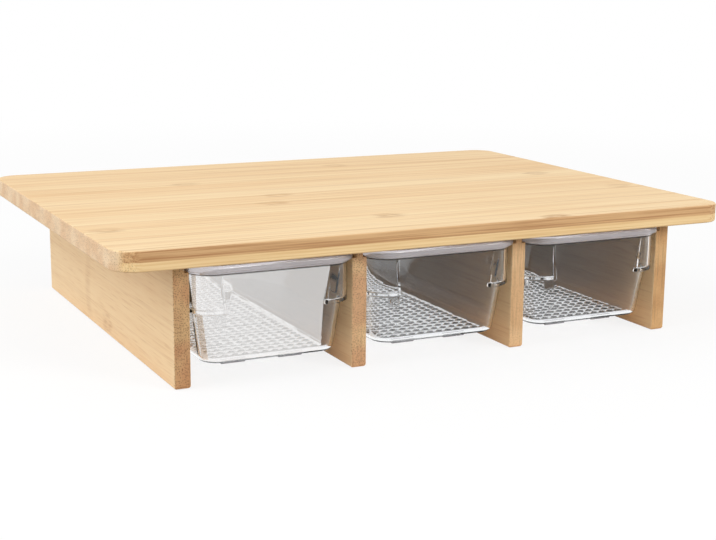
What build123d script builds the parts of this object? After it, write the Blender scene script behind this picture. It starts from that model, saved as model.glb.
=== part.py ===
from build123d import *
from math import radians, tan
import os

os.makedirs("parts", exist_ok=True)

# A bamboo cutting board on four upright panels, with a clear moulded tray hanging in each of the
# three bays. Millimetres. The origin is on the tabletop under the middle of the board. +X runs
# along the front to the right, +Y runs to the back and +Z runs up.

# --- Board -------------------------------------------------------------------------------------
board_width = 400.0
board_depth = 300.0
board_corner_radius = 15.0
board_edge_radius = 1.0
top_layer_thickness = 6.2
bottom_layer_thickness = 5.3

# --- Legs: upright panels that run from front to back, with the sides that have a tray groove ----
leg_grooves = {
    "left_leg": (1,),
    "centre_left_leg": (-1, 1),
    "centre_right_leg": (-1, 1),
    "right_leg": (-1,),
}
leg_height = 70.0
leg_thickness = 9.5
side_overhang = 34.75
leg_setback = 12.5
leg_edge_radius = 0.8
leg_foot_radius = 1.5

# --- Glue joint between a leg and the board ----------------------------------------------------
tongue_height = 3.5
tongue_setback = 8.0
glue_gap = 0.1

# --- Tray grooves along the tops of the legs ---------------------------------------------------
groove_depth = 2.75
groove_height = 5.0
groove_stop_length = 8.0

# --- Trays -------------------------------------------------------------------------------------
tray_names = ["left_tray", "centre_tray", "right_tray"]
rim_side_clearance = 0.5
rim_seat_clearance = 0.3
rim_stop_clearance = 0.3
rim_thickness = 3.7
rim_edge_radius = 0.8
skirt_clearance = 0.4
skirt_height = 1.8
lug_clearance = 0.8
lug_height = 22.5
lug_reach_top = 14.5
lug_reach_bottom = 19.0
lug_edge_radius = 1.2
tray_front_projection = 7.0
tray_floor_clearance = 10.2
tray_corner_radius = 15.0
tray_bottom_corner_radius = 11.0
tray_bottom_edge_radius = 4.5
tray_draft = 8.0
tray_wall = 2.0
foot_length = 15.0
foot_width = 2.2
foot_height = 0.9
foot_left_offset = 22.0
foot_right_offset = 12.5

# --- Worked out from the sizes above: legs and grooves -----------------------------------------
leg_gaps = len(leg_grooves) - 1
leg_pitch = (board_width - 2 * side_overhang - leg_thickness) / leg_gaps
leg_places = [(index - leg_gaps / 2) * leg_pitch for index in range(leg_gaps + 1)]
leg_depth = board_depth - 2 * leg_setback
leg_front = -leg_depth / 2
neck_thickness = leg_thickness - 2 * groove_depth
tongue_length = leg_depth - 2 * tongue_setback

bay_width = leg_pitch - leg_thickness
bay_places = [(left + right) / 2 for left, right in zip(leg_places, leg_places[1:])]
groove_floor = leg_height - groove_height
groove_length = leg_depth - groove_stop_length

# --- Worked out from the sizes above: trays in plan ----------------------------------------------
rim_width = bay_width + 2 * (groove_depth - rim_side_clearance)
skirt_width = bay_width - 2 * skirt_clearance
tray_width = bay_width - 2 * lug_clearance
rim_overhang = (rim_width - tray_width) / 2
skirt_overhang = (skirt_width - tray_width) / 2
rim_front = leg_front - tray_front_projection - rim_overhang
rim_back = leg_front + groove_length - rim_stop_clearance
rim_length = rim_back - rim_front
skirt_length = rim_length - 2 * (rim_overhang - skirt_overhang)
tray_length = rim_length - 2 * rim_overhang
tray_middle = (rim_front + rim_back) / 2

# --- Worked out from the sizes above: trays in height ----------------------------------------------
rim_bottom = groove_floor + rim_seat_clearance
rim_top = rim_bottom + rim_thickness
skirt_bottom = rim_bottom - skirt_height
lug_bottom = skirt_bottom - lug_height
tray_bottom = tray_floor_clearance + foot_height
tray_inside_bottom = tray_bottom + tray_wall


def wall_inset(height):
    """How far the leaning tray wall has drawn in at a height under the skirt."""
    return (skirt_bottom - height) * tan(radians(tray_draft))


def make_leg(place, groove_sides):
    """An upright panel with a tongue on top and a tray groove on each given side, -1 left, +1 right."""
    with BuildPart() as leg:
        with BuildSketch(Plane(origin=(place, 0, 0))):
            RectangleRounded(leg_thickness, leg_depth, leg_edge_radius)
        extrude(amount=leg_height)
        fillet(leg.faces().sort_by(Axis.Z)[0].edges(), radius=leg_foot_radius)
        with BuildSketch(Plane(origin=(place, 0, leg_height))):
            Rectangle(neck_thickness, tongue_length)
        extrude(amount=tongue_height)
        for side in groove_sides:
            groove_x = place + side * (leg_thickness - groove_depth) / 2
            groove_y = leg_front + groove_length / 2
            with BuildSketch(Plane(origin=(groove_x, groove_y, groove_floor))):
                Rectangle(groove_depth, groove_length)
            extrude(amount=groove_height, mode=Mode.SUBTRACT)
    return leg.part


def make_corner_lugs(inset, bottom):
    """The upright corners of a tray, from a height up to the skirt, drawn in all round by an inset."""
    width = tray_width - 2 * inset
    length = tray_length - 2 * inset
    bottom_reach = lug_reach_bottom - 2 * inset
    top_reach = lug_reach_top - 2 * inset
    with BuildPart() as lugs:
        for corner_x in (-width / 2, width / 2):
            for corner_y in (tray_middle - length / 2, tray_middle + length / 2):
                with BuildSketch(Plane(origin=(corner_x, corner_y, bottom))):
                    Rectangle(2 * bottom_reach, 2 * bottom_reach)
                with BuildSketch(Plane(origin=(corner_x, corner_y, skirt_bottom))):
                    Rectangle(2 * top_reach, 2 * top_reach)
                loft()
        with BuildSketch(Plane(origin=(0, tray_middle, bottom))):
            RectangleRounded(width, length, tray_corner_radius - inset)
        extrude(amount=skirt_bottom - bottom, mode=Mode.INTERSECT)
        fillet(lugs.faces().filter_by(Plane.XY).group_by(Axis.Z)[0].edges(), radius=lug_edge_radius)
    return lugs.part


def make_tub(inset, bottom, edge_radius):
    """The leaning body of a tray, from a height up to the skirt, drawn in all round by an inset."""
    top_width = tray_width - 2 * inset
    top_length = tray_length - 2 * inset
    bottom_width = top_width - 2 * wall_inset(bottom)
    bottom_length = top_length - 2 * wall_inset(bottom)
    with BuildPart() as tub:
        with BuildSketch(Plane(origin=(0, tray_middle, bottom))):
            RectangleRounded(bottom_width, bottom_length, tray_bottom_corner_radius - inset)
        with BuildSketch(Plane(origin=(0, tray_middle, skirt_bottom))):
            RectangleRounded(top_width, top_length, tray_corner_radius - inset)
        loft()
        fillet(tub.faces().sort_by(Axis.Z)[0].edges(), radius=edge_radius)
    return tub.part


def make_tray():
    """A thin-walled clear tray: a rim that hangs in the grooves, upright corner lugs and low feet."""
    with BuildPart() as tray:
        # Rim
        with BuildSketch(Plane(origin=(0, tray_middle, rim_bottom))):
            RectangleRounded(rim_width, rim_length, tray_corner_radius + rim_overhang)
        extrude(amount=rim_thickness)
        fillet(tray.faces().filter_by(Plane.XY).edges(), radius=rim_edge_radius)
        # Skirt under the rim
        with BuildSketch(Plane(origin=(0, tray_middle, skirt_bottom))):
            RectangleRounded(skirt_width, skirt_length, tray_corner_radius + skirt_overhang)
        extrude(amount=skirt_height)
        # Body and corner lugs
        add(make_tub(0, tray_bottom, tray_bottom_edge_radius))
        add(make_corner_lugs(0, lug_bottom))
        # Feet, a pair near each end, running up into the floor
        foot_y = tray_length / 2 - wall_inset(tray_bottom) - tray_bottom_edge_radius - foot_width / 2
        for end in (-1, 1):
            for foot_x in (end * foot_left_offset, -end * foot_right_offset):
                with BuildSketch(Plane(origin=(foot_x, tray_middle + end * foot_y, tray_floor_clearance))):
                    Rectangle(foot_length, foot_width)
                extrude(amount=foot_height + tray_wall / 2)
        # Hollow inside
        inside_width = tray_width - 2 * tray_wall
        inside_length = tray_length - 2 * tray_wall
        with BuildSketch(Plane(origin=(0, tray_middle, skirt_bottom))):
            RectangleRounded(inside_width, inside_length, tray_corner_radius - tray_wall)
        extrude(amount=rim_top - skirt_bottom, mode=Mode.SUBTRACT)
        add(make_tub(tray_wall, tray_inside_bottom, tray_bottom_edge_radius - tray_wall), mode=Mode.SUBTRACT)
        add(make_corner_lugs(tray_wall, lug_bottom + tray_wall), mode=Mode.SUBTRACT)
    return tray.part


# --- Board layers ------------------------------------------------------------------------------
board_bottom = leg_height
layer_seam = board_bottom + bottom_layer_thickness

with BuildPart() as board_top_layer:
    with BuildSketch(Plane.XY.offset(layer_seam)):
        RectangleRounded(board_width, board_depth, board_corner_radius)
    extrude(amount=top_layer_thickness)
    fillet(board_top_layer.faces().sort_by(Axis.Z)[-1].edges(), radius=board_edge_radius)

with BuildPart() as board_bottom_layer:
    with BuildSketch(Plane.XY.offset(board_bottom)):
        RectangleRounded(board_width, board_depth, board_corner_radius)
    extrude(amount=bottom_layer_thickness)
    fillet(board_bottom_layer.faces().sort_by(Axis.Z)[0].edges(), radius=board_edge_radius)
    # A blind housing for each leg's tongue
    with BuildSketch(Plane.XY.offset(board_bottom)):
        for leg_place in leg_places:
            with Locations((leg_place, 0)):
                Rectangle(neck_thickness + 2 * glue_gap, tongue_length + 2 * glue_gap)
    extrude(amount=tongue_height + glue_gap, mode=Mode.SUBTRACT)

board_top_layer.part.label = "board_top_layer"
board_bottom_layer.part.label = "board_bottom_layer"
export_step(board_top_layer.part, "parts/board_top_layer.step")
export_step(board_bottom_layer.part, "parts/board_bottom_layer.step")

# --- Legs --------------------------------------------------------------------------------------
for leg_place, (leg_name, groove_sides) in zip(leg_places, leg_grooves.items()):
    leg_part = make_leg(leg_place, groove_sides)
    leg_part.label = leg_name
    export_step(leg_part, f"parts/{leg_name}.step")

# --- Trays -------------------------------------------------------------------------------------
plain_tray = make_tray()

for bay_place, tray_name in zip(bay_places, tray_names):
    tray_part = plain_tray.moved(Location((bay_place, 0, 0)))
    tray_part.label = tray_name
    export_step(tray_part, f"parts/{tray_name}.step")
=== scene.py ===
import bpy
from math import cos, hypot, pi, radians, sin, tan
from mathutils import Matrix, Vector
from mathutils.geometry import delaunay_2d_cdt


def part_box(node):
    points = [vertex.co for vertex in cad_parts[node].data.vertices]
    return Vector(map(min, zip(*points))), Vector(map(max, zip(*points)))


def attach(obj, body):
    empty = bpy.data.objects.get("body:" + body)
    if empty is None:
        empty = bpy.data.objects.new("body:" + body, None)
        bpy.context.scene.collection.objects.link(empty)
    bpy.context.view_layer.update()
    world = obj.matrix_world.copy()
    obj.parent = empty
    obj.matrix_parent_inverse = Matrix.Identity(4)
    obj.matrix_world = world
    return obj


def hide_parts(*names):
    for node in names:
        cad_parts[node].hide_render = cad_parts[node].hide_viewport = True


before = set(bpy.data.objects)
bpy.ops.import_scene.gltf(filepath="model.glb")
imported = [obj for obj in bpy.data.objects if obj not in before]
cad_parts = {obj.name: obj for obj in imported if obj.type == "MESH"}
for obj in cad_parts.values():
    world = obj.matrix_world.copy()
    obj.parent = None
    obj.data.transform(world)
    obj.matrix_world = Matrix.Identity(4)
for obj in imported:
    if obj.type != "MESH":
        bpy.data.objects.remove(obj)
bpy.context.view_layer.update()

# A bamboo cutting board on four upright panels, with a clear moulded tray hanging in each of its three
# bays. Shapes are worked out in millimetres, with +X right along the front, +Y back and +Z up.
MM = 0.001

LEG_NAMES = ("left_leg", "centre_left_leg", "centre_right_leg", "right_leg")
TRAY_NAMES = ("left_tray", "centre_tray", "right_tray")

# --- Camera --------------------------------------------------------------------------------------------
PICTURE_WIDTH = 716
FOCAL_LENGTH_PIXELS = 1398.5
SENSOR_WIDTH = 36.0
CAMERA_PLACE = (-397.0, -839.6, 225.0)
CAMERA_YAW = 26.00
CAMERA_PITCH = 12.084
CAMERA_ROLL = 0.466
CLIP_NEAR = 0.05
CLIP_FAR = 200


def make_camera():
    """The photograph's view, from in front, to the left and a little above."""
    yaw, pitch, roll = radians(CAMERA_YAW), radians(CAMERA_PITCH), radians(CAMERA_ROLL)
    forward = Vector((sin(yaw) * cos(pitch), cos(yaw) * cos(pitch), -sin(pitch)))
    level = Vector((cos(yaw), -sin(yaw), 0))
    upright = level.cross(forward)
    right = level * cos(roll) + upright * sin(roll)
    up = upright * cos(roll) - level * sin(roll)
    data = bpy.data.cameras.new("camera")
    data.sensor_width = SENSOR_WIDTH
    data.lens = SENSOR_WIDTH * FOCAL_LENGTH_PIXELS / PICTURE_WIDTH
    data.clip_start = CLIP_NEAR
    data.clip_end = CLIP_FAR
    camera = bpy.data.objects.new("camera", data)
    bpy.context.scene.collection.objects.link(camera)
    turn = Matrix((right, up, -forward)).transposed()
    camera.matrix_world = Matrix.Translation(Vector(CAMERA_PLACE) * MM) @ turn.to_4x4()
    bpy.context.scene.camera = camera


# --- Node building ---------------------------------------------------------------------------------------
def srgb(red, green, blue):
    """A colour given as 0 to 255 screen values, as Blender's linear colour."""
    parts = []
    for part in (red, green, blue):
        part /= 255
        parts.append(part / 12.92 if part <= 0.04045 else ((part + 0.055) / 1.055) ** 2.4)
    return (*parts, 1)


class Graph:
    """A node tree under construction. Each call adds one node and gives back its output."""

    def __init__(self, tree):
        self.tree = tree
        tree.nodes.clear()

    def add(self, kind, inputs=(), output=0, **settings):
        node = self.tree.nodes.new(kind)
        for key, value in settings.items():
            setattr(node, key, value)
        for socket, value in dict(inputs).items():
            if isinstance(value, bpy.types.NodeSocket):
                self.tree.links.new(value, node.inputs[socket])
            else:
                node.inputs[socket].default_value = value
        return node.outputs[output]

    def math(self, operation, *values, clamp=False):
        inputs = dict(enumerate(values))
        return self.add("ShaderNodeMath", inputs, operation=operation, use_clamp=clamp)

    def times(self, vector, scale):
        return self.add("ShaderNodeVectorMath", {0: vector, 1: scale}, operation="MULTIPLY")

    def split(self, vector):
        node = self.add("ShaderNodeSeparateXYZ", {0: vector}).node
        return node.outputs[0], node.outputs[1], node.outputs[2]

    def join(self, x, y, z):
        return self.add("ShaderNodeCombineXYZ", {0: x, 1: y, 2: z})

    def noise(self, vector, detail, rough=0.5, scale=1.0):
        inputs = {"Vector": vector, "Scale": scale, "Detail": detail, "Roughness": rough}
        return self.add("ShaderNodeTexNoise", inputs)

    def step(self, value, low, high):
        """0 under low, 1 over high, with a soft change between."""
        inputs = {"Value": value, "From Min": low, "From Max": high}
        return self.add("ShaderNodeMapRange", inputs, interpolation_type="SMOOTHSTEP")

    def blend(self, factor, first, second):
        return self.add("ShaderNodeMix", {0: factor, 6: first, 7: second}, output=2, data_type="RGBA")


# --- Floor, light and background ---------------------------------------------------------------------------
FLOOR_REACH = 60.0
FLOOR_SINK = 0.0003
FLOOR_SHADOW_SHARE = 0.16
FLOOR_SHADOW_NEAR = 0.5
FLOOR_SHADOW_FAR = 1.3
FLOOR_BOUNCE = srgb(180, 177, 172)
UNDER_BOARD_BOUNCE = srgb(255, 199, 138)
UNDER_BOARD_REACH = (0.165, 0.140)
UNDER_BOARD_EDGE = 0.02
AMBIENT_LIGHT = 0.53
WHITE = srgb(255, 255, 255)
KEY_LIGHT = {"place": (-1.75, -0.02, 1.05), "size": 1.9, "power": 27}
FRONT_LIGHT = {"place": (1.0, -1.8, 1.05), "size": 0.8, "power": 22.5}
LAMP_TARGET = (0, 0, 0.05)


def finish_material(material, surface):
    """Joins a shader to the output of a material or of the world."""
    kind = "ShaderNodeOutputWorld" if isinstance(material, bpy.types.World) else "ShaderNodeOutputMaterial"
    output = material.node_tree.nodes.new(kind)
    material.node_tree.links.new(surface, output.inputs["Surface"])


def make_floor():
    """A wide white tabletop that keeps a soft shadow near the board. The light that it throws back is grey,
    and warm under the board, where real light comes off the wood again and again."""
    reach = FLOOR_REACH / 2
    corners = [(-reach, -reach, -FLOOR_SINK), (reach, -reach, -FLOOR_SINK),
               (reach, reach, -FLOOR_SINK), (-reach, reach, -FLOOR_SINK)]
    mesh = bpy.data.meshes.new("floor")
    mesh.from_pydata(corners, [], [(0, 1, 2, 3)])
    floor = bpy.data.objects.new("floor", mesh)
    bpy.context.scene.collection.objects.link(floor)
    material = bpy.data.materials.new("floor")
    material.use_nodes = True
    graph = Graph(material.node_tree)
    rays = graph.add("ShaderNodeLightPath").node.outputs
    place = graph.add("ShaderNodeTexCoord").node.outputs["Object"]
    away = graph.add("ShaderNodeVectorMath", {0: place}, output="Value", operation="LENGTH")
    near = graph.step(away, FLOOR_SHADOW_FAR, FLOOR_SHADOW_NEAR)
    share = graph.math("MULTIPLY", graph.math("MULTIPLY", near, FLOOR_SHADOW_SHARE), rays["Is Camera Ray"])
    paper = graph.add("ShaderNodeBsdfDiffuse", {"Color": WHITE})
    glow = graph.add("ShaderNodeEmission", {"Color": WHITE, "Strength": 1.0})
    shown = graph.add("ShaderNodeMixShader", {0: share, 1: glow, 2: paper})
    under = 1.0
    for side, reach in zip(graph.split(place), UNDER_BOARD_REACH):
        inside = graph.step(graph.math("ABSOLUTE", side), reach + UNDER_BOARD_EDGE, reach - UNDER_BOARD_EDGE)
        under = graph.math("MULTIPLY", inside, under)
    thrown_back = graph.blend(under, FLOOR_BOUNCE, UNDER_BOARD_BOUNCE)
    bounce = graph.add("ShaderNodeBsdfDiffuse", {"Color": thrown_back})
    surface = graph.add("ShaderNodeMixShader", {0: seen_directly(graph, rays), 1: bounce, 2: shown})
    finish_material(material, surface)
    mesh.materials.append(material)


def seen_directly(graph, rays):
    """1 for the rays that should meet a plain white background: the camera's, and those bent or mirrored on
    their way from the camera. Light that has already been scattered by the wood doesn't count."""
    seen = graph.math("ADD", rays["Is Camera Ray"], rays["Is Glossy Ray"])
    seen = graph.math("ADD", seen, rays["Is Transmission Ray"], clamp=True)
    return graph.math("MULTIPLY", seen, graph.math("LESS_THAN", rays["Diffuse Depth"], 0.5))


def make_world():
    """A plain white surround, weaker as a light than as a background."""
    world = bpy.data.worlds.new("world")
    world.use_nodes = True
    bpy.context.scene.world = world
    graph = Graph(world.node_tree)
    rays = graph.add("ShaderNodeLightPath").node.outputs
    ambient = graph.add("ShaderNodeBackground", {"Color": WHITE, "Strength": AMBIENT_LIGHT})
    backdrop = graph.add("ShaderNodeBackground", {"Color": WHITE, "Strength": 1.0})
    seen = seen_directly(graph, rays)
    finish_material(world, graph.add("ShaderNodeMixShader", {0: seen, 1: ambient, 2: backdrop}))


def make_lamp(name, place, size, power):
    """A square soft light that faces the board."""
    data = bpy.data.lights.new(name, "AREA")
    data.size = size
    data.energy = power
    lamp = bpy.data.objects.new(name, data)
    bpy.context.scene.collection.objects.link(lamp)
    lamp.location = place
    lamp.rotation_mode = "QUATERNION"
    lamp.rotation_quaternion = (Vector(LAMP_TARGET) - Vector(place)).to_track_quat("-Z", "Y")


# --- Bamboo ------------------------------------------------------------------------------------------------
X, Y, Z = 0, 1, 2

# Sizes in millimetres. Two or three numbers are the values where a mark starts and where it is full, and its
# share there.
STRIP_WIDTH = 21.0
STRIP_SHIFT = 700.0
STRIP_SEED_STEP = 1.37
GLUE_LINE = 0.035
GLUE_LINE_SHARE = 0.30
PORE_PITCH = 0.95
PORE_SCATTER = 0.75
KNOT_LENGTH = 9.0
KNOT_WIDTH = 6.5
KNOT_FRAY = 2.2
KNOT_RIM = (1.9, 0.2)
KNOT_EYE = (0.22, 0.02, 0.5)
KNOT_LINES = (0.40, 0.62, 0.75)
BAND_WIDTH = 9.0
BAND_CORE = 1.0
BAND_SIDES = (1.0, 0.2)
BAND_FIBRES = (0.35, 0.65, 0.6)
BAND_BOW = 7.0
BAND_MIDDLE = 22.0
BAND_REACH = 24.0
PORE_BROWN = srgb(104, 68, 38)
FIBRE_RELIEF = 0.6
STREAK_RELIEF = 0.4
WOOD_RELIEF = {"Strength": 0.15, "Distance": 0.0003}
WOOD_ROUGHNESS = 0.48
FIBRE_ROUGHNESS = 0.18
WOOD_SHINE = {"IOR": 1.45, "Specular IOR Level": 0.4}

# Fields of long noise: the length along the fibres, the width across them, and a shift that keeps the fields
# apart. FIBRE_FIELD has no length, because that is each piece's own.
FIBRE_FIELD = (1.0, 3.1)
STREAK_FIELD = (190.0, 3.6, 17.7)
BROAD_FIELD = (260.0, 9.0, 41.3)
KNOT_FIELD = (16.0, 2.0, 67.9)
SIDE_LINE_FIELD = (120.0, 0.9, 83.3)
SIDE_SOFT_FIELD = (60.0, 2.5, 89.1)

LONG_DETAIL = 2.5
LONG_ROUGHNESS = 0.55

# What a field gives to a colour: the field's values where it starts and where it is full, and its share
# there.
BROAD_TONE = (0.32, 0.70, 0.38)
STREAK_TONE = (0.34, 0.68, 0.34)
FIBRE_TONE = (0.36, 0.68, 0.22)
STREAK_VEIN = (0.57, 0.70, 0.26)
FIBRE_VEIN = (0.56, 0.72, 0.22)
SIDE_LINE_TONE = (0.44, 0.60, 0.62)
SIDE_SOFT_TONE = (0.40, 0.66, 0.34)

# How far a face has to look along the grain, or across it, to count as an end or a side.
SIDE_FACING = (0.55, 0.85)
END_FACING = (0.66, 0.90)
PORE_FACING = (0.12, 0.40)
PORE_EDGE = (0.46, 0.14)
BLOCK_SCALE = 0.055
BLOCK_EDGE = (0.36, 0.64)
SMEAR_EDGE = (0.46, 0.66)
BOARD_SMEAR_SCALE = (0.3, 0.10, 0.30)
LEG_SMEAR_SCALE = (1.1, 1.1, 0.05)
BOARD_KNOTS = [(-186, -85, 0.55), (-91, 62, 0.45), (-63, -35, 0.6), (-50, -6, 0.5), (-18, -104, 0.7),
               (46, 107, 0.35), (74, -147, 0.8), (162, 14, 0.65), (182, -60, 0.4)]
LEG_KNOTS = [(-5, 7.5, 0.45)]
LEG_BANDS = [(38, 0.26)]


class Bamboo(Graph):
    """The shader of one piece of oiled bamboo. grain is the axis along the fibres, strips the axis across the
    strips that the piece is glued up from. Places are in millimetres."""

    def __init__(self, name, grain, strips, seed):
        self.material = bpy.data.materials.new(name)
        self.material.use_nodes = True
        super().__init__(self.material.node_tree)
        self.grain, self.strips, self.seed = grain, strips, seed
        coordinates = self.add("ShaderNodeTexCoord").node.outputs
        self.place = self.times(coordinates["Object"], (1000, 1000, 1000))
        self.parts = self.split(self.place)
        self.facing = [self.math("ABSOLUTE", part) for part in self.split(coordinates["Normal"])]
        strip = self.math("DIVIDE", self.parts[strips], STRIP_WIDTH)
        self.strip_place = self.math("ADD", strip, seed * STRIP_SEED_STEP)
        number = self.math("FLOOR", self.strip_place)
        self.strip_tone = self.add("ShaderNodeTexWhiteNoise", {"W": number}, noise_dimensions="1D")
        shift = [0, 0, 0]
        shift[grain] = self.math("MULTIPLY", self.strip_tone, STRIP_SHIFT)
        self.strip_shift = self.join(*shift)

    def stretched(self, along, width, offset):
        """Noise drawn out along the fibres, different in each strip."""
        scale = [1 / width] * 3
        scale[self.grain] = 1 / along
        moved = self.add("ShaderNodeVectorMath", {0: self.place, 1: self.strip_shift}, operation="ADD")
        spread = {0: self.times(moved, scale), 1: (offset + self.seed,) * 3}
        spread = self.add("ShaderNodeVectorMath", spread, operation="ADD")
        return self.noise(spread, detail=LONG_DETAIL, rough=LONG_ROUGHNESS)

    def share_of(self, field, low, high, share):
        """A share of a field, which starts at low and is full at high."""
        return self.math("MULTIPLY", self.step(field, low, high), share)

    def mix_in(self, colour, factor, share, other):
        return self.blend(self.math("MULTIPLY", factor, share), colour, other)

    def oval(self, knot):
        """A growth node's field: 0 at its middle and 1 at its rim, roughened by the fibres."""
        along, sideways, _ = knot
        over = self.math("DIVIDE", self.math("SUBTRACT", self.parts[self.grain], along), KNOT_LENGTH)
        fray = self.math("MULTIPLY", self.math("SUBTRACT", self.streak, 0.5), KNOT_FRAY)
        over = self.math("ADD", over, fray)
        aside = self.math("DIVIDE", self.math("SUBTRACT", self.parts[self.strips], sideways), KNOT_WIDTH)
        return self.math("ADD", self.math("MULTIPLY", over, over), self.math("MULTIPLY", aside, aside))

    def face(self, tones, strip_share, streaks, fibre_length, knots, bands):
        """The broad face: strips, streaks, fine fibres, glue lines, growth nodes and growth rings. tones are
        the pale, the honey and the vein colour, and streaks is how strong the long streaks are."""
        pale, honey, vein = tones
        self.fibre = self.stretched(fibre_length, *FIBRE_FIELD)
        self.streak = self.stretched(*STREAK_FIELD)
        broad = self.stretched(*BROAD_FIELD)
        tone = self.math("MULTIPLY", self.strip_tone, strip_share)
        for field, (low, high, share) in ((broad, BROAD_TONE), (self.streak, STREAK_TONE)):
            tone = self.math("ADD", tone, self.share_of(field, low, high, share * streaks))
        tone = self.math("ADD", tone, STREAK_TONE[2] * (1 - streaks))
        tone = self.math("ADD", tone, self.share_of(self.fibre, *FIBRE_TONE), clamp=True)
        colour = self.blend(tone, pale, honey)
        low, high, share = STREAK_VEIN
        colour = self.blend(self.share_of(self.streak, low, high, share * streaks), colour, vein)
        colour = self.blend(self.share_of(self.fibre, *FIBRE_VEIN), colour, vein)
        over = self.math("FRACT", self.strip_place)
        beside = self.math("MINIMUM", over, self.math("SUBTRACT", 1.0, over))
        colour = self.blend(self.share_of(beside, GLUE_LINE, 0.0, GLUE_LINE_SHARE * streaks), colour, vein)
        colour = self.add_knots(colour, knots, vein)
        return self.add_bands(colour, bands, vein)

    def add_knots(self, colour, knots, vein):
        """Growth nodes: streaky ovals, paler in the middle. Each is given by its place along and across the
        grain, and its strength."""
        lines = self.share_of(self.stretched(*KNOT_FIELD), *KNOT_LINES)
        for knot in knots:
            square = self.oval(knot)
            eye = self.share_of(square, *KNOT_EYE)
            ring = self.math("SUBTRACT", self.step(square, *KNOT_RIM), eye)
            mottle = self.math("ADD", lines, 1 - KNOT_LINES[2])
            colour = self.mix_in(colour, self.math("MULTIPLY", ring, mottle), knot[2], vein)
        return colour

    def add_bands(self, colour, bands, vein):
        """Growth rings: bowed dark bands across the grain. Each is given by its place along the grain, and
        its strength."""
        for along, strength in bands:
            aside = self.math("SUBTRACT", self.parts[self.strips], BAND_MIDDLE)
            aside = self.math("DIVIDE", aside, BAND_REACH)
            aside = self.math("MULTIPLY", aside, aside)
            line = self.math("ADD", self.parts[self.grain], self.math("MULTIPLY", aside, BAND_BOW))
            away = self.math("ABSOLUTE", self.math("SUBTRACT", line, along))
            band = self.step(away, BAND_WIDTH, BAND_CORE)
            band = self.math("MULTIPLY", band, self.step(aside, *BAND_SIDES))
            mottle = self.math("ADD", self.share_of(self.fibre, *BAND_FIBRES), 1 - BAND_FIBRES[2])
            colour = self.mix_in(colour, self.math("MULTIPLY", band, mottle), strength, vein)
        return colour

    def long_side(self, colour, ground, line):
        """The narrow sides along the grain, where the fibres show as long thin lines."""
        lines = self.stretched(*SIDE_LINE_FIELD)
        soft = self.stretched(*SIDE_SOFT_FIELD)
        share = self.share_of(lines, *SIDE_LINE_TONE)
        share = self.math("ADD", share, self.share_of(soft, *SIDE_SOFT_TONE), clamp=True)
        side = self.blend(share, ground, line)
        return self.blend(self.step(self.facing[self.strips], *SIDE_FACING), colour, side)

    def cut_end(self, colour, ground, warm, dots, smear, smear_scale):
        """The ends across the grain: dark pores at a fine pitch, over blocks of slightly different tone. The
        pores reach further round a corner than the end's own colour does."""
        spacing = {"Vector": self.place, "Scale": 1 / PORE_PITCH, "Randomness": PORE_SCATTER}
        pore = self.step(self.add("ShaderNodeTexVoronoi", spacing), *PORE_EDGE)
        blocks = self.noise(self.place, detail=1, scale=BLOCK_SCALE)
        end = self.blend(self.step(blocks, *BLOCK_EDGE), ground, warm)
        patches = self.noise(self.times(self.place, smear_scale), detail=2)
        end = self.mix_in(end, self.step(patches, *SMEAR_EDGE), smear, PORE_BROWN)
        colour = self.blend(self.step(self.facing[self.grain], *END_FACING), colour, end)
        pore = self.math("MULTIPLY", pore, self.step(self.facing[self.grain], *PORE_FACING))
        return self.mix_in(colour, pore, dots, PORE_BROWN)

    def finish(self, colour):
        """Joins the colour, a satin gloss and a fine relief to the material's output."""
        fibres = self.math("MULTIPLY", self.fibre, FIBRE_RELIEF)
        height = self.math("ADD", fibres, self.math("MULTIPLY", self.streak, STREAK_RELIEF))
        bump = self.add("ShaderNodeBump", {"Height": height, **WOOD_RELIEF})
        gloss = self.math("ADD", self.math("MULTIPLY", self.fibre, FIBRE_ROUGHNESS), WOOD_ROUGHNESS)
        shader = self.add("ShaderNodeBsdfPrincipled", {
            "Base Color": colour, "Roughness": gloss, "Normal": bump, **WOOD_SHINE})
        finish_material(self.material, shader)
        return self.material


def board_bamboo(name, ground, line, knots, seed):
    """The board's layers: grain along the front, with a darker or lighter narrow side. ground and line are
    the colours of that side."""
    wood = Bamboo(name, X, Y, seed)
    tones = (srgb(252, 226, 181), srgb(239, 200, 148), srgb(188, 140, 88))
    colour = wood.face(tones, strip_share=0.34, streaks=1.0, fibre_length=80.0, knots=knots, bands=[])
    colour = wood.long_side(colour, ground, line)
    colour = wood.cut_end(colour, srgb(236, 208, 172), srgb(226, 190, 150),
                          dots=0.40, smear=0.09, smear_scale=BOARD_SMEAR_SCALE)
    return wood.finish(colour)


def leg_bamboo(name, ground, warm, dots, smear, seed):
    """The legs: grain from front to back, with dotted ends. ground and warm are the colours of the ends, and
    dots and smear how strong their pores and their brown patches are."""
    wood = Bamboo(name, Y, Z, seed)
    tones = (srgb(243, 217, 174), srgb(228, 192, 147), srgb(184, 138, 96))
    colour = wood.face(tones, strip_share=0.12, streaks=0.4, fibre_length=26.0, knots=LEG_KNOTS,
                       bands=LEG_BANDS)
    colour = wood.long_side(colour, srgb(226, 188, 138), srgb(190, 146, 98))
    colour = wood.cut_end(colour, ground, warm, dots, smear, LEG_SMEAR_SCALE)
    return wood.finish(colour)


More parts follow.
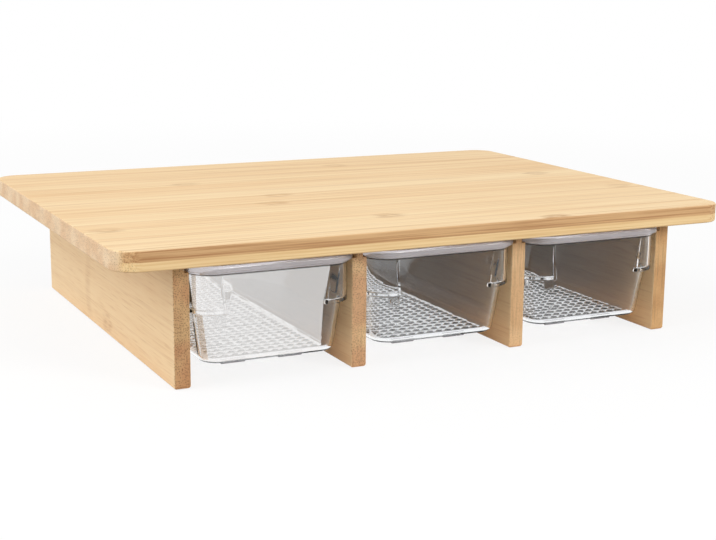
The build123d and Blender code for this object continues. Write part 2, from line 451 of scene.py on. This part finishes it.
def dress_wood():
    """Gives the board's layers and the legs their bamboo."""
    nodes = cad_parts
    upper = board_bamboo("bamboo_top", srgb(220, 178, 128), srgb(178, 128, 82), BOARD_KNOTS, 3.0)
    lower = board_bamboo("bamboo_underlayer", srgb(246, 214, 161), srgb(228, 188, 132), [], 11.0)
    paint(nodes["board_top_layer"], upper)
    paint(nodes["board_bottom_layer"], lower)
    # The legs' ends, from the left: ground and warm colour, then the strength of the pores and patches.
    looks = [(srgb(210, 172, 124), srgb(196, 146, 104), 0.75, 0.15),
             (srgb(229, 192, 144), srgb(215, 170, 128), 0.70, 0.15),
             (srgb(235, 197, 150), srgb(223, 181, 134), 0.26, 0.20),
             (srgb(223, 180, 127), srgb(209, 162, 111), 0.26, 0.20)]
    for number, (leg, look) in enumerate(zip(LEG_NAMES, looks)):
        paint(nodes[leg], leg_bamboo("bamboo_" + leg, *look, 17.0 + 5 * number))


def paint(piece, material):
    """Gives a piece one material."""
    piece.data.materials.clear()
    piece.data.materials.append(material)


# --- Trays -------------------------------------------------------------------------------------------------
WALL = 2.0
DRAFT = 8.0
RIM_OVERHANG = 3.05
RIM_THICKNESS = 3.7
RIM_TOP_EDGE = 1.6
RIM_BOTTOM_EDGE = 0.8
RIM_FILLET = 0.3
RIM_FILLET_MIDDLE = 0.09
RIM_LIP = 0.6
SKIRT_OVERHANG = 0.4
SKIRT_HEIGHT = 1.8
SKIRT_EDGE = 0.25
LUG_HEIGHT = 22.5
LUG_REACH_TOP = 15.8
LUG_REACH_BOTTOM = 17.8
LUG_SIDE_TOP = 0.4
LUG_SIDE_BOTTOM = 1.2
LUG_EDGE = 1.2
LUG_SIDE_CLEAR = 0.2
LUG_THINNING = 0.4
LEDGE_DROP = 0.5
LEDGE_HOLLOW = 0.4
LEDGE_HOLLOW_MIDDLE = 0.12
CORNER_RADIUS = 15.0
BOTTOM_CORNER_RADIUS = 11.0
BOTTOM_EDGE = 4.5
FOOT_HEIGHT = 0.9
FOOT_SIZE = (15.0, 2.2)
FOOT_OFFSETS = (22.0, 12.5)
FOOT_SETBACK = 0.1
FOOT_CORNER = 0.5
FOOT_DRAFT = 0.3
STUD_PITCH = 6.1
STUD_BASE = 3.6
STUD_TOP = 2.4
STUD_HEIGHT = 0.5
STUD_MARGIN = 3.6
ARC_STEPS = 8
SIDE_STEPS = 6
LUG_SIDE_STEPS = 6
LUG_HEIGHT_STEPS = 5
SHARP_ANGLE = 40

rim_low, rim_high = (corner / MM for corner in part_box("centre_tray"))
tray_middle = (rim_low.y + rim_high.y) / 2
half_width = (rim_high.x - rim_low.x) / 2 - RIM_OVERHANG
half_length = (rim_high.y - rim_low.y) / 2 - RIM_OVERHANG
rim_top = rim_high.z
rim_bottom = rim_top - RIM_THICKNESS
skirt_bottom = rim_bottom - SKIRT_HEIGHT
lug_bottom = skirt_bottom - LUG_HEIGHT
tray_bottom = rim_low.z + FOOT_HEIGHT
lean = tan(radians(DRAFT))
full_inset = (skirt_bottom - tray_bottom) * lean
corner_shrink = (CORNER_RADIUS - BOTTOM_CORNER_RADIUS) / full_inset


def wall_inset(height):
    """How far the leaning wall has drawn in at a height."""
    return max(0.0, (skirt_bottom - height) * lean)


def side_stations(half_side, arc_start, reach, slope):
    """Distances from a corner, along one side, from the side's middle to where the corner's arc starts, each
    with the lug's share there. slope is how wide the lug's side is, outside its reach."""
    edge = max(reach, arc_start + LUG_SIDE_CLEAR)
    run = edge + slope - half_side
    stations = [(half_side + run * step / SIDE_STEPS, 0.0) for step in range(SIDE_STEPS)]
    for step in range(LUG_SIDE_STEPS + 1):
        part = step / LUG_SIDE_STEPS
        stations.append((edge + slope * (1 - part), part * part * (3 - 2 * part)))
    return stations


def quarter(half_x, half_y, radius, reach, slope, gap):
    """One quarter of a rounded rectangle, from the middle of its +X side to the middle of its +Y side.
    Each point is (x, y, lug share). gap is the inset of the outline, from which the reach is measured."""
    points = []
    for distance, share in side_stations(half_y + gap, radius + gap, reach, slope):
        points.append((half_x, half_y + gap - distance, share))
    for step in range(ARC_STEPS + 1):
        angle = pi / 2 * step / ARC_STEPS
        points.append((half_x - radius + radius * cos(angle), half_y - radius + radius * sin(angle), 1.0))
    for distance, share in reversed(side_stations(half_x + gap, radius + gap, reach, slope)):
        points.append((half_x + gap - distance, half_y, share))
    return points[:-1]


def outline(inset, radius, reach, slope):
    """A rounded rectangle drawn in by an inset, once round, as a list of (x, y, lug share)."""
    first = quarter(half_width - inset, half_length - inset, radius, reach, slope, inset)
    flat_end = (0.0, half_length - inset, 0.0)
    second = [(-x, y, share) for x, y, share in reversed(first[1:])]
    third = [(-x, -y, share) for x, y, share in first]
    fourth = [(x, -y, share) for x, y, share in reversed(first[1:])]
    return first + [flat_end] + second + third + [(0.0, -flat_end[1], 0.0)] + fourth


def lug_side(height):
    """How far a lug reaches from the tray's corner at a height, and how wide its side is beyond that. Both
    grow downwards, as the wall behind draws in."""
    share = min(1.0, max(0.0, (skirt_bottom - height) / LUG_HEIGHT))
    reach = LUG_REACH_TOP + (LUG_REACH_BOTTOM - LUG_REACH_TOP) * share
    return reach, LUG_SIDE_TOP + (LUG_SIDE_BOTTOM - LUG_SIDE_TOP) * share


def ring(wall, wall_z, lug=None, lug_z=None, radius_less=0.0, reach_less=0.0):
    """One loop of the tray's surface: the wall's inset and height, and the lugs' where they differ."""
    lug, lug_z = wall if lug is None else lug, wall_z if lug_z is None else lug_z
    leaning = wall - radius_less
    wall_radius = CORNER_RADIUS - corner_shrink * max(0.0, leaning) - min(0.0, leaning) - radius_less
    lug_radius = CORNER_RADIUS - lug if abs(lug - wall) > 1e-9 else wall_radius
    reach, slope = lug_side(lug_z)
    reach -= reach_less
    walls = outline(wall, wall_radius, reach, slope)
    lugs = outline(lug, lug_radius, reach, slope)
    points = []
    for (wall_x, wall_y, share), (lug_x, lug_y, _) in zip(walls, lugs):
        x = wall_x + (lug_x - wall_x) * share
        y = wall_y + (lug_y - wall_y) * share
        z = wall_z + (lug_z - wall_z) * share
        points.append((x, y, z))
    return points


def arc(centre_inset, centre_z, radius, start, end, steps):
    """(inset, height) along a rounding: angle 0 points outwards, 90 up and -90 down."""
    points = []
    for step in range(steps + 1):
        angle = radians(start + (end - start) * step / steps)
        points.append((centre_inset - radius * cos(angle), centre_z + radius * sin(angle)))
    return points


def bottom_edge(floor_z, less, radius):
    """The rounding between the floor and the leaning wall, from the floor up."""
    centre_z = floor_z + radius
    centre_inset = less + (skirt_bottom - centre_z) * lean + radius * hypot(1, lean)
    edge = arc(centre_inset, centre_z, radius, -90, -DRAFT, 6)
    return [ring(inset, z, radius_less=less) for inset, z in edge]


def wall_between(low, high, less):
    """Three rings on the leaning wall between two heights, on the face that lies less in."""
    heights = [low + (high - low) * step / 4 for step in (1, 2, 3)]
    return [ring(wall_inset(z) + less, z, radius_less=less) for z in heights]


def ledge(bottom, less, radius):
    """The rings that pass a lug's lower edge, from under it to over it, on the face that lies less in. A
    small hollow leads from the wall to the flat under the lug, and a rounding from there to its side."""
    inside = wall_inset(bottom) + less
    under = bottom - LEDGE_DROP
    lugs = [(wall_inset(under) + less, under),
            (inside - LEDGE_HOLLOW_MIDDLE, bottom - LEDGE_HOLLOW_MIDDLE), (inside - LEDGE_HOLLOW, bottom)]
    lugs += arc(less + radius, bottom + radius, radius, -90, 0, 5)
    rings = []
    for step, (lug, lug_z) in enumerate(lugs):
        wall_z = under + (radius + LEDGE_DROP) * step / (len(lugs) - 1)
        rings.append(ring(wall_inset(wall_z) + less, wall_z, lug, lug_z, less, less * LUG_THINNING))
    return rings


def lug_rings(bottom, less):
    """The rings from over a lug's lower edge to the skirt."""
    rings = []
    for step in range(1, LUG_HEIGHT_STEPS + 1):
        z = bottom + (skirt_bottom - bottom) * step / LUG_HEIGHT_STEPS
        rings.append(ring(wall_inset(z) + less, z, less, z, less, less * LUG_THINNING))
    return rings


def rim_profile():
    """(inset, height) from under the skirt, round the rim and over to its top."""
    skirt = arc(SKIRT_EDGE - SKIRT_OVERHANG, skirt_bottom + SKIRT_EDGE, SKIRT_EDGE, -90, 0, 3)
    fillet = [(-SKIRT_OVERHANG, rim_bottom - RIM_FILLET),
              (-SKIRT_OVERHANG - RIM_FILLET_MIDDLE, rim_bottom - RIM_FILLET_MIDDLE),
              (-SKIRT_OVERHANG - RIM_FILLET, rim_bottom)]
    low = arc(RIM_BOTTOM_EDGE - RIM_OVERHANG, rim_bottom + RIM_BOTTOM_EDGE, RIM_BOTTOM_EDGE, -90, 0, 4)
    high = arc(RIM_TOP_EDGE - RIM_OVERHANG, rim_top - RIM_TOP_EDGE, RIM_TOP_EDGE, 0, 90, 6)
    return skirt + fillet + low + high


def tray_rings():
    """The tray's surface as loops, from the underside's edge up round the rim and down to the floor."""
    outside = bottom_edge(tray_bottom, 0.0, BOTTOM_EDGE)
    outside += wall_between(outside[-1][0][2], lug_bottom - LEDGE_DROP, 0.0)
    outside += ledge(lug_bottom, 0.0, LUG_EDGE)
    outside += lug_rings(lug_bottom + LUG_EDGE, 0.0)
    outside += [ring(inset, z) for inset, z in rim_profile()]
    lip = arc(WALL - RIM_LIP, rim_top - RIM_LIP, RIM_LIP, 90, 180, 4)
    outside += [ring(inset, z, radius_less=WALL) for inset, z in lip]
    outside.append(ring(WALL, skirt_bottom, radius_less=WALL))
    inner_lug = lug_bottom + WALL
    inside = bottom_edge(tray_bottom + WALL, WALL, BOTTOM_EDGE - WALL)
    inside += wall_between(inside[-1][0][2], inner_lug - LEDGE_DROP, WALL)
    inside += ledge(inner_lug, WALL, LUG_EDGE)
    inside += lug_rings(inner_lug + LUG_EDGE, WALL)[:-1]
    return outside + inside[::-1]


def rounded_square(centre_x, centre_y, half_x, half_y, corner):
    """The eight points of a bar or square with cut corners, anticlockwise."""
    points = []
    for sign_x, sign_y, first in ((1, 1, True), (-1, 1, False), (-1, -1, True), (1, -1, False)):
        near = (centre_x + sign_x * half_x, centre_y + sign_y * (half_y - corner))
        far = (centre_x + sign_x * (half_x - corner), centre_y + sign_y * half_y)
        points += [near, far] if first else [far, near]
    return points


def cap(vertices, faces, edge, z, bosses, height, upwards):
    """Closes a loop of vertices with a flat face that carries bosses, each given by the outlines of its base
    and of its top."""
    loops = [list(edge)]
    for base, _ in bosses:
        loops.append(list(range(len(vertices), len(vertices) + len(base))))
        vertices += [(x, y, z) for x, y in base]
    numbers = [number for loop in loops for number in loop]
    place = {number: index for index, number in enumerate(numbers)}
    points = [Vector(vertices[number][:2]) for number in numbers]
    sides = [(place[a], place[b]) for loop in loops for a, b in zip(loop, loop[1:] + loop[:1])]
    found, _, triangles, origins, _, _ = delaunay_2d_cdt(points, sides, [], 1, 1e-4)
    numbers_found = [numbers[origin[0]] for origin in origins]
    boss_of = {number: index for index, loop in enumerate(loops[1:]) for number in loop}
    for triangle in triangles:
        corners = [numbers_found[index] for index in triangle]
        owners = {boss_of.get(number, -1) for number in corners}
        if owners == {-1} or len(owners) > 1:
            faces.append(corners if upwards else corners[::-1])
    rise = height if upwards else -height
    for loop, (_, top) in zip(loops[1:], bosses):
        upper = list(range(len(vertices), len(vertices) + len(top)))
        vertices += [(x, y, z + rise) for x, y in top]
        for index, low in enumerate(loop):
            after = (index + 1) % len(loop)
            side = [low, loop[after], upper[after], upper[index]]
            faces.append(side if upwards else side[::-1])
        faces.append(upper if upwards else upper[::-1])


def studs():
    """The raised studs of the tray's floor, in straight rows."""
    floor_inset = wall_inset(tray_bottom + WALL) + BOTTOM_EDGE
    reach_x = half_width - floor_inset - STUD_MARGIN + STUD_BASE / 2
    reach_y = half_length - floor_inset - STUD_MARGIN + STUD_BASE / 2
    columns, rows = int(2 * reach_x / STUD_PITCH), int(2 * reach_y / STUD_PITCH)
    corner = BOTTOM_CORNER_RADIUS - BOTTOM_EDGE
    found = []
    for column in range(columns):
        for row in range(rows):
            x = (column - (columns - 1) / 2) * STUD_PITCH
            y = (row - (rows - 1) / 2) * STUD_PITCH
            beyond = hypot(max(0, abs(x) - reach_x + corner), max(0, abs(y) - reach_y + corner))
            if beyond > corner:
                continue
            base = rounded_square(x, y, STUD_BASE / 2, STUD_BASE / 2, STUD_BASE / 4)
            top = rounded_square(x, y, STUD_TOP / 2, STUD_TOP / 2, STUD_TOP / 4)
            found.append((base, top))
    return found


def feet():
    """The low bars under the tray, a pair near each end."""
    half_x, half_y = FOOT_SIZE[0] / 2, FOOT_SIZE[1] / 2
    foot_y = half_length - full_inset - BOTTOM_EDGE - half_y - FOOT_SETBACK
    found = []
    for end in (-1, 1):
        for foot_x in (end * FOOT_OFFSETS[0], -end * FOOT_OFFSETS[1]):
            base = rounded_square(foot_x, end * foot_y, half_x, half_y, FOOT_CORNER)
            top = rounded_square(foot_x, end * foot_y, half_x - FOOT_DRAFT, half_y - FOOT_DRAFT, FOOT_CORNER)
            found.append((base, top))
    return found


def tray_shape():
    """The vertices and faces of one tray, in millimetres, about its own middle."""
    vertices, faces, loops = [], [], []
    for points in tray_rings():
        loops.append(list(range(len(vertices), len(vertices) + len(points))))
        vertices += points
    for lower, upper in zip(loops, loops[1:]):
        for index, low in enumerate(lower):
            after = (index + 1) % len(lower)
            faces.append([low, lower[after], upper[after], upper[index]])
    cap(vertices, faces, loops[0], tray_bottom, feet(), FOOT_HEIGHT, False)
    cap(vertices, faces, loops[-1], tray_bottom + WALL, studs(), STUD_HEIGHT, True)
    return vertices, faces


CLEAR_TINT = srgb(250, 251, 252)
# White of the painted glare that veils the left tray's front, standing in for the glare of the bright table.
PAINTED_GLARE_WHITE = srgb(255, 252, 250)
# Light lilac of the painted sheen on the rim, which stands in for the light the solid rim bends and mirrors.
RIM_SHEEN_LILAC = srgb(249, 246, 251)
# Dark brown of the painted shade line round the skirt's lower edge.
SKIRT_PAINTED_SHADE_LINE = srgb(88, 76, 70)
# Grey of the painted shade on the feet, which stands in for their contact shadow.
FOOT_PAINTED_SHADE_GREY = srgb(160, 160, 166)
WALL_IOR = 1.38
FLOOR_IOR = 1.15
# Share of the rim that takes the painted sheen instead of letting light through.
RIM_PAINTED_SHEEN = 0.30
# Share of the feet that takes the painted grey shade instead of letting light through.
FOOT_SHADE_SHARE = 0.55
# Share of painted white glare on the left tray's front, standing in for the glare of the bright table.
LEFT_FRONT_PAINTED_GLARE = 0.30
LEFT_FRONT_COAT = 1.0
COAT_IOR = 4.0
FRONT_STRIP = 20.0
FRONT_STRIP_CLEAR = 0.9
WAVE_SCALE = 0.06
WAVE_RELIEF = {"Strength": 0.02, "Distance": 0.001}

# Heights over the skirt's or the tray's underside, in millimetres, between which the painted sheen and shades
# come in.
RIM_SHEEN_FADE = (0.2, 1.0)
SKIRT_SHADE_LINE_FADE = (0.5, 0.2)
FOOT_SHADE_FADE = (-0.1, -0.4)
STRIP_FADE_OVER = (1.0, 0.6)
STRIP_FADE_UNDER = (-0.2, -0.05)
STRIP_FADE_LENGTH = 2.0

# Which faces get which plastic.
FLOOR_NORMAL = 0.3
FRONT_NORMAL = -0.35
EDGE_RISE = 3.0
TOUCHING = 0.01


def clear_plastic(name, refraction, painted_glare=0.0, coat=0.0):
    """Polished clear plastic that lets the lamps' light through. The rim carries a painted light-lilac sheen
    that stands in for the light the solid rim bends and mirrors, the feet a painted grey shade that stands in
    for their contact shadow, and a painted dark shade line runs round the skirt's lower edge. The argument
    after refraction is the share of a painted white glare over the whole surface, and coat how strongly it
    mirrors."""
    material = bpy.data.materials.new(name)
    material.use_nodes = True
    graph = Graph(material.node_tree)
    place = graph.times(graph.add("ShaderNodeTexCoord").node.outputs["Object"], (1000, 1000, 1000))
    _, along, height = graph.split(place)
    over_skirt = graph.math("SUBTRACT", height, skirt_bottom)
    over_bottom = graph.math("SUBTRACT", height, tray_bottom)
    rim = graph.step(over_skirt, *RIM_SHEEN_FADE)
    # The feet get a painted grey shade.
    foot = graph.step(over_bottom, *FOOT_SHADE_FADE)
    # A painted dark shade line round the skirt's lower edge.
    line = graph.step(graph.math("ABSOLUTE", over_skirt), *SKIRT_SHADE_LINE_FADE)
    # The base colour: white where a painted glare veils the surface, then the rim's painted lilac sheen, the
    # feet's painted grey shade and the skirt's painted shade line.
    colour = graph.blend(rim, PAINTED_GLARE_WHITE if painted_glare else CLEAR_TINT, RIM_SHEEN_LILAC)
    colour = graph.blend(foot, colour, FOOT_PAINTED_SHADE_GREY)
    colour = graph.blend(line, colour, SKIRT_PAINTED_SHADE_LINE)
    # Where the rim's painted sheen and the feet's painted shade take the place of clear plastic.
    rim_sheen_share = graph.math("MULTIPLY", rim, RIM_PAINTED_SHEEN)
    painted_veil_share = graph.math("MAXIMUM", rim_sheen_share, graph.math("MULTIPLY", foot, FOOT_SHADE_SHARE))
    waves = graph.noise(graph.times(place, (WAVE_SCALE,) * 3), detail=1)
    bump = graph.add("ShaderNodeBump", {"Height": waves, **WAVE_RELIEF})
    clear = graph.add("ShaderNodeBsdfPrincipled", {
        "Base Color": colour, "Roughness": 0.0, "IOR": refraction, "Normal": bump,
        "Coat Weight": coat, "Coat IOR": COAT_IOR, "Coat Roughness": 0.0,
        "Transmission Weight": graph.math("SUBTRACT", 1.0 - painted_glare, painted_veil_share, clamp=True)})
    through = graph.add("ShaderNodeBsdfTransparent", {"Color": CLEAR_TINT})
    lamp_ray = graph.add("ShaderNodeLightPath").node.outputs["Is Shadow Ray"]
    strip = graph.math("MULTIPLY", front_strip(graph, along, over_bottom), FRONT_STRIP_CLEAR)
    open_share = graph.math("MAXIMUM", lamp_ray, strip)
    finish_material(material, graph.add("ShaderNodeMixShader", {0: open_share, 1: clear, 2: through}))
    return material


def front_strip(graph, along, over_bottom):
    """1 on the strip of the underside along the front wall, without the feet. Light goes straight through
    there, so that the front's lower edge stays bright."""
    strip_end = tray_middle - half_length + FRONT_STRIP
    strip = graph.step(along, strip_end, strip_end - STRIP_FADE_LENGTH)
    strip = graph.math("MULTIPLY", strip, graph.step(over_bottom, *STRIP_FADE_OVER))
    return graph.math("MULTIPLY", strip, graph.step(over_bottom, *STRIP_FADE_UNDER))


def is_floor(face, top):
    """True for the floor and its studs, for the underside and for the lower part of the outer edge's
    rounding. top is the height of the face's highest corner."""
    inside = tray_bottom + WALL - TOUCHING < face.center.z / MM
    limit = tray_bottom + WALL + STUD_HEIGHT + TOUCHING if inside else tray_bottom + EDGE_RISE
    return tray_bottom - TOUCHING < top < limit and abs(face.normal.z) > FLOOR_NORMAL


def is_front(face, middle):
    """True for the outer face of the front wall, from its left corner to where the right lug begins."""
    height = face.center.z / MM
    across = face.center.x / MM - middle
    front = tray_middle - half_length
    at_front = face.normal.y < FRONT_NORMAL and face.center.y / MM < front + CORNER_RADIUS
    upright = tray_bottom + 1 < height < skirt_bottom
    return at_front and upright and across < half_width - sum(lug_side(height))


def make_trays():
    """Builds the three trays over their solids. The left tray's front has a plastic of its own: a painted
    white glare over a strong mirror coat, so that it looks as bright as the table that it mirrors."""
    vertices, faces = tray_shape()
    plastics = [clear_plastic("clear_plastic", WALL_IOR),
                clear_plastic("clear_plastic_floor", FLOOR_IOR),
                clear_plastic("clear_plastic_front_painted_glare", WALL_IOR, LEFT_FRONT_PAINTED_GLARE, LEFT_FRONT_COAT)]
    for name in TRAY_NAMES:
        low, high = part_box(name)
        middle = (low.x + high.x) / 2
        shift = Vector((middle, tray_middle * MM, 0))
        mesh = bpy.data.meshes.new("clear_" + name)
        mesh.from_pydata([Vector(point) * MM + shift for point in vertices], [], faces)
        mesh.validate()
        mesh.shade_smooth()
        mesh.set_sharp_from_angle(angle=radians(SHARP_ANGLE))
        for plastic in plastics:
            mesh.materials.append(plastic)
        for face in mesh.polygons:
            top = max(mesh.vertices[number].co.z for number in face.vertices) / MM
            if is_floor(face, top):
                face.material_index = 1
            # The left tray's front takes the plastic with the painted white glare.
            elif name == "left_tray" and is_front(face, middle / MM):
                face.material_index = 2
        tray = bpy.data.objects.new("clear_" + name, mesh)
        bpy.context.scene.collection.objects.link(tray)
        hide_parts(name)
        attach(tray, name)


# --- The scene ---------------------------------------------------------------------------------------------
make_camera()
make_floor()
make_world()
make_lamp("key_light", **KEY_LIGHT)
make_lamp("front_light", **FRONT_LIGHT)
dress_wood()
make_trays()

bpy.context.scene.view_settings.view_transform = "Standard"
